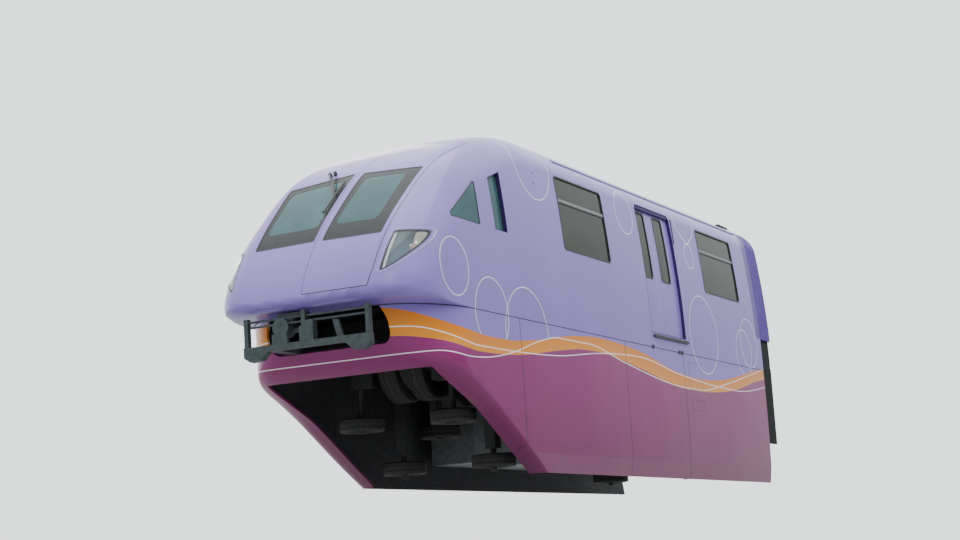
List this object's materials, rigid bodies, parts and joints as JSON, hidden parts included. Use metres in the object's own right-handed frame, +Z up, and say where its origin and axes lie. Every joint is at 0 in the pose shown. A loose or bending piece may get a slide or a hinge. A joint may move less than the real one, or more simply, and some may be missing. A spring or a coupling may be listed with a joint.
{
  "type": "monorail car",
  "caption": "Straddle monorail driving car: sloping glazed nose with a lift-up escape hatch, sliding side doors, deep side skirts, and rubber-tyred bogies that grip a beam.",
  "frame": {"origin": "on the beam's running surface, on the car's centre line, midway between the two bogie pivots", "axes": "+X towards the nose, +Y to the car's left, +Z up"},
  "size_m": [12.48, 2.737, 4.41],
  "materials": {
    "body_paint": "glossy lilac paint",
    "skirt_paint": "glossy magenta paint",
    "hood_rubber": "purple gangway band, satin",
    "frame_steel": "dark underframe paint",
    "coupler_steel": "grey painted steel",
    "glass": "dark tinted safety glass",
    "lamp_glass": "clear lamp cover",
    "tyre": "rubber tyres on steel wheels",
    "seat_fabric": "moulded blue seats",
    "desk_plastic": "dark grey moulding",
    "rail_steel": "satin steel tube"
  },
  "bodies": {
    "car_body": {"bench_front_left": "seat_fabric", "bench_front_right": "seat_fabric", "bench_rear_left": "seat_fabric", "bench_rear_right": "seat_fabric", "cab_glass_left": "glass", "cab_glass_right": "glass", "cab_shell": "body_paint", "coupler_frame": "coupler_steel", "driver_desk": "desk_plastic", "driver_seat": "seat_fabric", "end_wall": "body_paint", "equipment_left": "frame_steel", "equipment_right": "frame_steel", "gangway": "hood_rubber", "grab_rails": "rail_steel", "headlight_left": "lamp_glass", "headlight_right": "lamp_glass", "nose_skirt": "skirt_paint", "roof": "body_paint", "side_wall_left": "body_paint", "side_wall_right": "body_paint", "skirt_left": "skirt_paint", "skirt_right": "skirt_paint", "underframe": "frame_steel", "window_front_left": "glass", "window_front_right": "glass", "window_rear_left": "glass", "window_rear_right": "glass", "windshield_right": "glass"},
    "hatch": {"front_hatch": "body_paint", "windshield_left": "glass"},
    "door_front_leaf_left": {"door_front_left": "body_paint", "door_glass_front_left": "glass"},
    "door_rear_leaf_left": {"door_rear_left": "body_paint", "door_glass_rear_left": "glass"},
    "door_front_leaf_right": {"door_front_right": "body_paint", "door_glass_front_right": "glass"},
    "door_rear_leaf_right": {"door_rear_right": "body_paint", "door_glass_rear_right": "glass"},
    "bogie_front": {"bogie_frame_front": "frame_steel"},
    "axle_front_1": {"axle_front_1": "tyre"},
    "axle_front_2": {"axle_front_2": "tyre"},
    "guide_front_a_left": {"guide_front_a_left": "tyre"},
    "guide_front_a_right": {"guide_front_a_right": "tyre"},
    "guide_front_b_left": {"guide_front_b_left": "tyre"},
    "guide_front_b_right": {"guide_front_b_right": "tyre"},
    "guide_front_low_left": {"guide_front_low_left": "tyre"},
    "guide_front_low_right": {"guide_front_low_right": "tyre"},
    "bogie_rear": {"bogie_frame_rear": "frame_steel"},
    "axle_rear_1": {"axle_rear_1": "tyre"},
    "axle_rear_2": {"axle_rear_2": "tyre"},
    "guide_rear_a_left": {"guide_rear_a_left": "tyre"},
    "guide_rear_a_right": {"guide_rear_a_right": "tyre"},
    "guide_rear_b_left": {"guide_rear_b_left": "tyre"},
    "guide_rear_b_right": {"guide_rear_b_right": "tyre"},
    "guide_rear_low_left": {"guide_rear_low_left": "tyre"},
    "guide_rear_low_right": {"guide_rear_low_right": "tyre"}
  },
  "joints": [
    {"name": "hatch_lift", "type": "hinge", "parent": "car_body", "child": "hatch", "pos_m": [4.266, 0.476, 3.104], "axis": [0, -1, 0], "range_deg": [0, 70]},
    {"name": "door_open_left", "type": "slide", "parent": "car_body", "child": "door_front_leaf_left", "axis": [1, 0, 0], "range_m": [0, 0.67]},
    {"name": "door_rear_slide_left", "type": "slide", "parent": "car_body", "child": "door_rear_leaf_left", "axis": [1, 0, 0], "range_m": [-0.67, 0]},
    {"name": "door_open_right", "type": "slide", "parent": "car_body", "child": "door_front_leaf_right", "axis": [1, 0, 0], "range_m": [0, 0.67]},
    {"name": "door_rear_slide_right", "type": "slide", "parent": "car_body", "child": "door_rear_leaf_right", "axis": [1, 0, 0], "range_m": [-0.67, 0]},
    {"name": "bogie_yaw_front", "type": "hinge", "parent": "car_body", "child": "bogie_front", "pos_m": [3.3, 0, 0.63], "axis": [0, 0, 1], "range_deg": [-5, 5]},
    {"name": "axle_spin_front_1", "type": "hinge", "parent": "bogie_front", "child": "axle_front_1", "pos_m": [4, 0, 0.45], "axis": [0, 1, 0], "continuous": true},
    {"name": "axle_spin_front_2", "type": "hinge", "parent": "bogie_front", "child": "axle_front_2", "pos_m": [2.6, 0, 0.45], "axis": [0, 1, 0], "continuous": true},
    {"name": "guide_spin_front_a_left", "type": "hinge", "parent": "bogie_front", "child": "guide_front_a_left", "pos_m": [4.3, 0.63, -0.25], "axis": [0, 0, 1], "continuous": true},
    {"name": "guide_spin_front_a_right", "type": "hinge", "parent": "bogie_front", "child": "guide_front_a_right", "pos_m": [4.3, -0.63, -0.25], "axis": [0, 0, 1], "continuous": true},
    {"name": "guide_spin_front_b_left", "type": "hinge", "parent": "bogie_front", "child": "guide_front_b_left", "pos_m": [2.3, 0.63, -0.25], "axis": [0, 0, 1], "continuous": true},
    {"name": "guide_spin_front_b_right", "type": "hinge", "parent": "bogie_front", "child": "guide_front_b_right", "pos_m": [2.3, -0.63, -0.25], "axis": [0, 0, 1], "continuous": true},
    {"name": "guide_spin_front_low_left", "type": "hinge", "parent": "bogie_front", "child": "guide_front_low_left", "pos_m": [3.3, 0.63, -0.75], "axis": [0, 0, 1], "continuous": true},
    {"name": "guide_spin_front_low_right", "type": "hinge", "parent": "bogie_front", "child": "guide_front_low_right", "pos_m": [3.3, -0.63, -0.75], "axis": [0, 0, 1], "continuous": true},
    {"name": "bogie_yaw_rear", "type": "hinge", "parent": "car_body", "child": "bogie_rear", "pos_m": [-3.3, 0, 0.63], "axis": [0, 0, 1], "range_deg": [-5, 5]},
    {"name": "axle_spin_rear_1", "type": "hinge", "parent": "bogie_rear", "child": "axle_rear_1", "pos_m": [-2.6, 0, 0.45], "axis": [0, 1, 0], "continuous": true},
    {"name": "axle_spin_rear_2", "type": "hinge", "parent": "bogie_rear", "child": "axle_rear_2", "pos_m": [-4, 0, 0.45], "axis": [0, 1, 0], "continuous": true},
    {"name": "guide_spin_rear_a_left", "type": "hinge", "parent": "bogie_rear", "child": "guide_rear_a_left", "pos_m": [-2.3, 0.63, -0.25], "axis": [0, 0, 1], "continuous": true},
    {"name": "guide_spin_rear_a_right", "type": "hinge", "parent": "bogie_rear", "child": "guide_rear_a_right", "pos_m": [-2.3, -0.63, -0.25], "axis": [0, 0, 1], "continuous": true},
    {"name": "guide_spin_rear_b_left", "type": "hinge", "parent": "bogie_rear", "child": "guide_rear_b_left", "pos_m": [-4.3, 0.63, -0.25], "axis": [0, 0, 1], "continuous": true},
    {"name": "guide_spin_rear_b_right", "type": "hinge", "parent": "bogie_rear", "child": "guide_rear_b_right", "pos_m": [-4.3, -0.63, -0.25], "axis": [0, 0, 1], "continuous": true},
    {"name": "guide_spin_rear_low_left", "type": "hinge", "parent": "bogie_rear", "child": "guide_rear_low_left", "pos_m": [-3.3, 0.63, -0.75], "axis": [0, 0, 1], "continuous": true},
    {"name": "guide_spin_rear_low_right", "type": "hinge", "parent": "bogie_rear", "child": "guide_rear_low_right", "pos_m": [-3.3, -0.63, -0.75], "axis": [0, 0, 1], "continuous": true}
  ],
  "couplings": [
    {"joint": "door_rear_slide_left", "follows": "door_open_left", "ratio": -1},
    {"joint": "door_rear_slide_right", "follows": "door_open_right", "ratio": -1}
  ]
}
